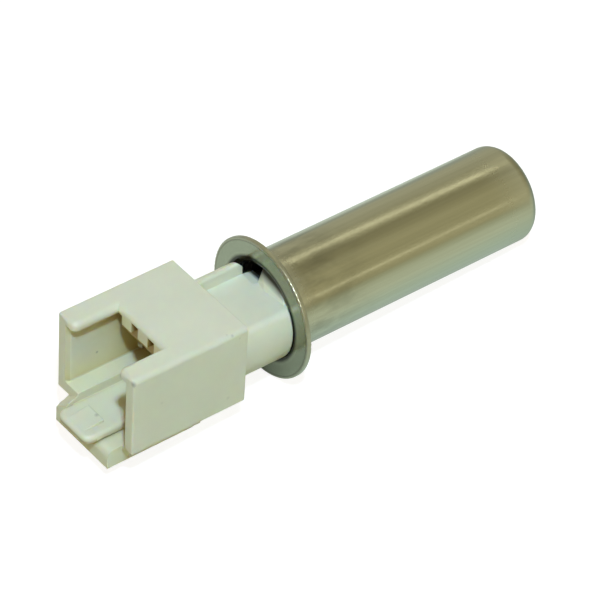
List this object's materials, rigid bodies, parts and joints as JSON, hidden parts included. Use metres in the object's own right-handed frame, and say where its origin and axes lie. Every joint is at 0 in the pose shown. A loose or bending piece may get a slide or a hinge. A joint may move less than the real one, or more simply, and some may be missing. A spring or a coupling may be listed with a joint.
{
  "type": "thermistor probe",
  "caption": "Appliance temperature probe: a flanged steel sheath with a closed tip, and a moulded connector plugged into its open end.",
  "frame": {"origin": "on the sheath's axis, at the flange's seating face", "axes": "+X along the sheath towards its closed tip, +Z towards the notched side of the connector"},
  "size_m": [0.0523, 0.0144, 0.0144],
  "materials": {
    "sheath_steel": "drawn, fine lengthwise scratches",
    "body_plastic": "satin, pale grey-green nylon",
    "pin_metal": "tinned",
    "chip_ceramic": "sintered ceramic",
    "bead_resin": "dipped epoxy",
    "lead_metal": "tinned wire",
    "sleeve_plastic": "extruded tube",
    "potting_resin": "cast"
  },
  "bodies": {
    "root": {"steel_sheath": "sheath_steel", "connector_body": "body_plastic", "contact_pin_left": "pin_metal", "contact_pin_right": "pin_metal", "thermistor_chip": "chip_ceramic", "bead_coating": "bead_resin", "lead_wire_left": "lead_metal", "lead_wire_right": "lead_metal", "lead_sleeve_left": "sleeve_plastic", "lead_sleeve_right": "sleeve_plastic", "potting_compound": "potting_resin"}
  },
  "joints": []
}
